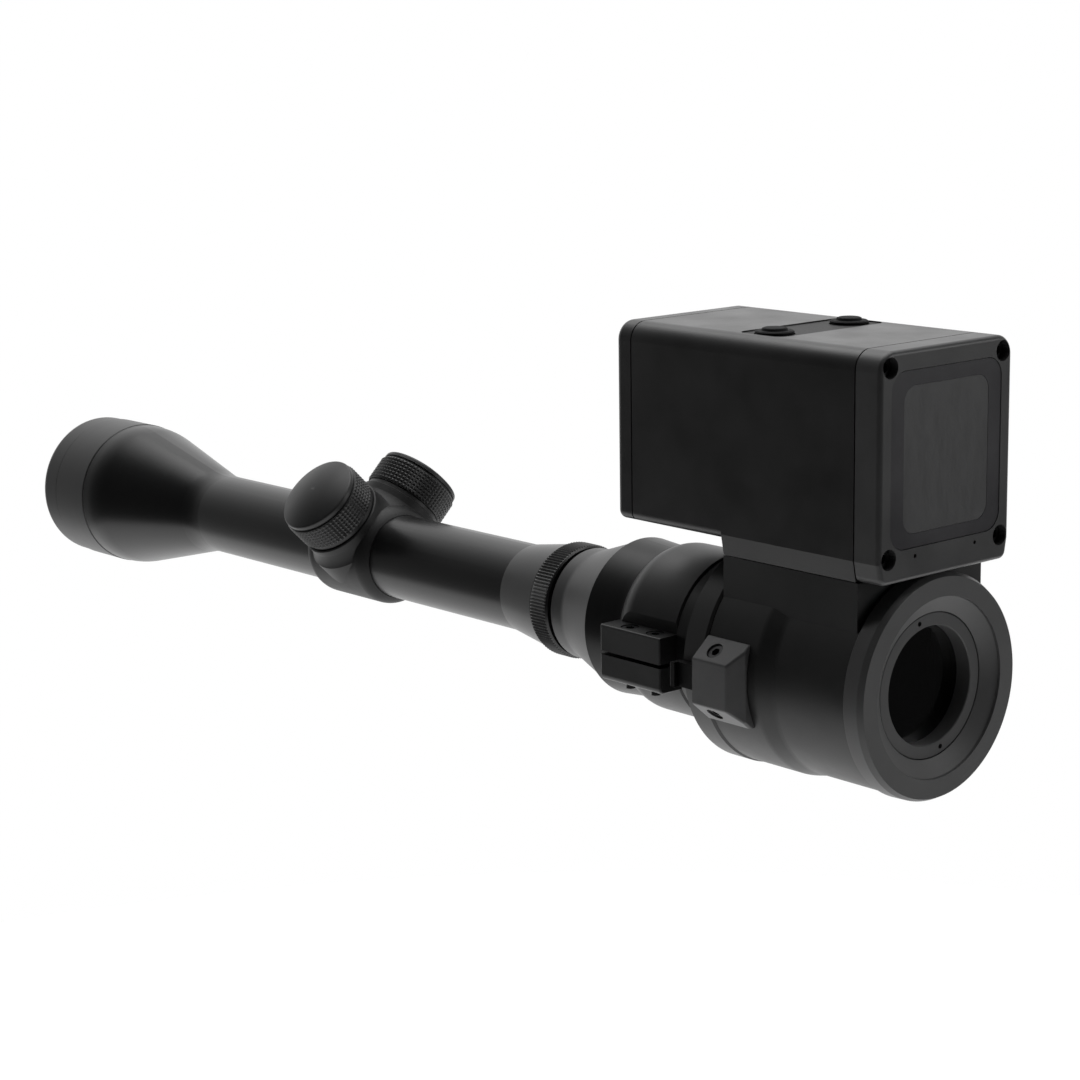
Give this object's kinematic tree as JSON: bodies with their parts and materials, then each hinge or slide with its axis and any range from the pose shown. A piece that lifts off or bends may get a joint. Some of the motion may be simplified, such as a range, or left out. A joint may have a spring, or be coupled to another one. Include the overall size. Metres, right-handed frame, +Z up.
{
  "type": "telescopic sight with camera display",
  "caption": "Telescopic sight with a camera and display box clamped round its eyepiece; turret caps, focus ring, swivel, latch and push buttons move.",
  "frame": {"origin": "where the two turret axes cross the optical axis, in the middle of the tube's ring seats", "axes": "+X along the optical axis from the objective to the eye, +Z up with the camera box upright"},
  "size_m": [0.3875, 0.0637, 0.1164],
  "materials": {
    "black_anodised": "black anodised, satin",
    "satin_ring": "dark grey anodised, satin",
    "knurled_cap": "black anodised, knurled",
    "box_black": "black anodised, fine bead-blasted",
    "bezel_black": "black anodised, satin",
    "lens_glass": "coated, polished",
    "display_glass": "tinted, polished",
    "display_dark": "dark display, switched off",
    "seal_rubber": "moulded, matte",
    "button_face": "black anodised, satin",
    "screw_steel": "blackened",
    "spring_steel": "plain",
    "inner_metal": "machined",
    "plunger_brass": "turned",
    "circuit_board": "solder mask",
    "battery_wrap": "shrink wrap"
  },
  "bodies": {
    "sight": {"main_tube": "black_anodised", "objective_ring": "satin_ring", "objective_flint": "lens_glass", "objective_crown": "lens_glass", "objective_lock_ring": "black_anodised", "turret_saddle": "black_anodised", "erector_spring": "spring_steel"},
    "elevation_cap_lift": {"elevation_cap_seal": "seal_rubber"},
    "elevation_cap": {"elevation_cap": "knurled_cap"},
    "elevation_dial": {"elevation_dial": "inner_metal"},
    "elevation_plunger": {"elevation_plunger": "plunger_brass"},
    "windage_cap_lift": {"windage_cap_seal": "seal_rubber"},
    "windage_cap": {"windage_cap": "knurled_cap"},
    "windage_dial": {"windage_dial": "inner_metal"},
    "windage_plunger": {"windage_plunger": "plunger_brass"},
    "gimbal": {"gimbal_ring": "inner_metal"},
    "erector": {"erector_tube": "inner_metal", "erector_lenses": "lens_glass", "reticle_disc": "lens_glass"},
    "lock_ring": {"lock_ring": "black_anodised"},
    "focus_slide": {"focus_seal": "seal_rubber"},
    "eyepiece": {"ocular_neck": "satin_ring", "ocular_bell": "black_anodised", "field_lens": "lens_glass", "eye_lens": "lens_glass", "eye_lens_ring": "black_anodised", "clamp_ring": "black_anodised", "clamp_screws": "screw_steel", "adapter_sleeve": "black_anodised"},
    "camera": {"camera_barrel": "black_anodised", "front_flange": "black_anodised", "flange_screws": "screw_steel", "latch_block": "black_anodised", "latch_screws": "screw_steel", "latch_pin": "screw_steel", "latch_spring": "spring_steel", "rear_collar": "black_anodised", "eye_window": "lens_glass", "window_ring": "black_anodised", "front_prism": "lens_glass", "rear_prism": "lens_glass", "prism_holder": "black_anodised", "camera_lens": "inner_metal", "sensor_board": "circuit_board", "housing_body": "box_black", "plinth_screws": "screw_steel", "button_strip": "box_black", "front_cover": "box_black", "front_screws": "screw_steel", "box_gaskets": "seal_rubber", "rear_bezel": "bezel_black", "rear_screws": "screw_steel", "display_frame": "bezel_black", "display_window": "display_glass", "display_panel": "display_dark", "main_board": "circuit_board", "battery": "battery_wrap"},
    "latch_lever": {"latch_lever": "bezel_black"},
    "left_button": {"left_button": "button_face"},
    "right_button": {"right_button": "button_face"}
  },
  "joints": [
    {"name": "elevation_cap_rise", "type": "slide", "parent": "sight", "child": "elevation_cap_lift", "axis": [0, -0.7071, 0.7071], "range_m": [0, 0.006]},
    {"name": "elevation_cap_turn", "type": "hinge", "parent": "elevation_cap_lift", "child": "elevation_cap", "pos_m": [0, 0, 0], "axis": [0, -0.7071, 0.7071], "range_deg": [0, 2160]},
    {"name": "elevation_dial_turn", "type": "hinge", "parent": "sight", "child": "elevation_dial", "pos_m": [0, 0, 0], "axis": [0, -0.7071, 0.7071], "range_deg": [-720, 720]},
    {"name": "elevation_plunger_move", "type": "slide", "parent": "sight", "child": "elevation_plunger", "axis": [0, -0.7071, 0.7071], "range_m": [-0.0007, 0.0007]},
    {"name": "windage_cap_rise", "type": "slide", "parent": "sight", "child": "windage_cap_lift", "axis": [0, 0.7071, 0.7071], "range_m": [0, 0.006]},
    {"name": "windage_cap_turn", "type": "hinge", "parent": "windage_cap_lift", "child": "windage_cap", "pos_m": [0, 0, 0], "axis": [0, 0.7071, 0.7071], "range_deg": [0, 2160]},
    {"name": "windage_dial_turn", "type": "hinge", "parent": "sight", "child": "windage_dial", "pos_m": [0, 0, 0], "axis": [0, 0.7071, 0.7071], "range_deg": [-720, 720]},
    {"name": "windage_plunger_move", "type": "slide", "parent": "sight", "child": "windage_plunger", "axis": [0, 0.7071, 0.7071], "range_m": [-0.0007, 0.0007]},
    {"name": "erector_tilt_up", "type": "hinge", "parent": "sight", "child": "gimbal", "pos_m": [0.066, 0, 0], "axis": [0, 0.7071, 0.7071], "range_deg": [-0.61, 0.61], "deforming": ["erector_spring"]},
    {"name": "erector_tilt_across", "type": "hinge", "parent": "gimbal", "child": "erector", "pos_m": [0.066, 0, 0], "axis": [0, 0.7071, -0.7071], "range_deg": [-0.61, 0.61]},
    {"name": "lock_ring_turn", "type": "hinge", "parent": "sight", "child": "lock_ring", "pos_m": [0.09, 0, 0], "axis": [1, 0, 0], "range_deg": [-90, 90]},
    {"name": "focus_move", "type": "slide", "parent": "sight", "child": "focus_slide", "axis": [1, 0, 0], "range_m": [-0.0005, 0.001]},
    {"name": "focus_turn", "type": "hinge", "parent": "focus_slide", "child": "eyepiece", "pos_m": [0.11, 0, 0], "axis": [1, 0, 0], "range_deg": [-180, 360]},
    {"name": "camera_swivel", "type": "hinge", "parent": "eyepiece", "child": "camera", "pos_m": [0.18, 0, 0], "axis": [1, 0, 0], "continuous": true},
    {"name": "latch_lift", "type": "hinge", "parent": "camera", "child": "latch_lever", "pos_m": [0.1868, -0.0312, -0.0017], "axis": [0, 0, 1], "range_deg": [0, 5], "stiffness_Nm_per_rad": 0.05, "springref_deg": -8.59, "deforming": ["latch_spring"]},
    {"name": "left_button_press", "type": "slide", "parent": "camera", "child": "left_button", "axis": [0, 0, -1], "range_m": [0, 0.0008], "stiffness_N_per_m": 1500, "springref_m": -0.0004},
    {"name": "right_button_press", "type": "slide", "parent": "camera", "child": "right_button", "axis": [0, 0, -1], "range_m": [0, 0.0008], "stiffness_N_per_m": 1500, "springref_m": -0.0004}
  ],
  "couplings": [
    {"joint": "elevation_cap_rise", "follows": "elevation_cap_turn", "m_per_rad": 0.00015914},
    {"joint": "elevation_plunger_move", "follows": "elevation_dial_turn", "m_per_rad": 0.000055699},
    {"joint": "windage_cap_rise", "follows": "windage_cap_turn", "m_per_rad": 0.00015914},
    {"joint": "windage_plunger_move", "follows": "windage_dial_turn", "m_per_rad": 0.000055699},
    {"joint": "erector_tilt_up", "follows": "elevation_dial_turn", "ratio": 0.00084392},
    {"joint": "erector_tilt_across", "follows": "windage_dial_turn", "ratio": 0.00084392},
    {"joint": "focus_move", "follows": "focus_turn", "m_per_rad": 0.00015914}
  ]
}
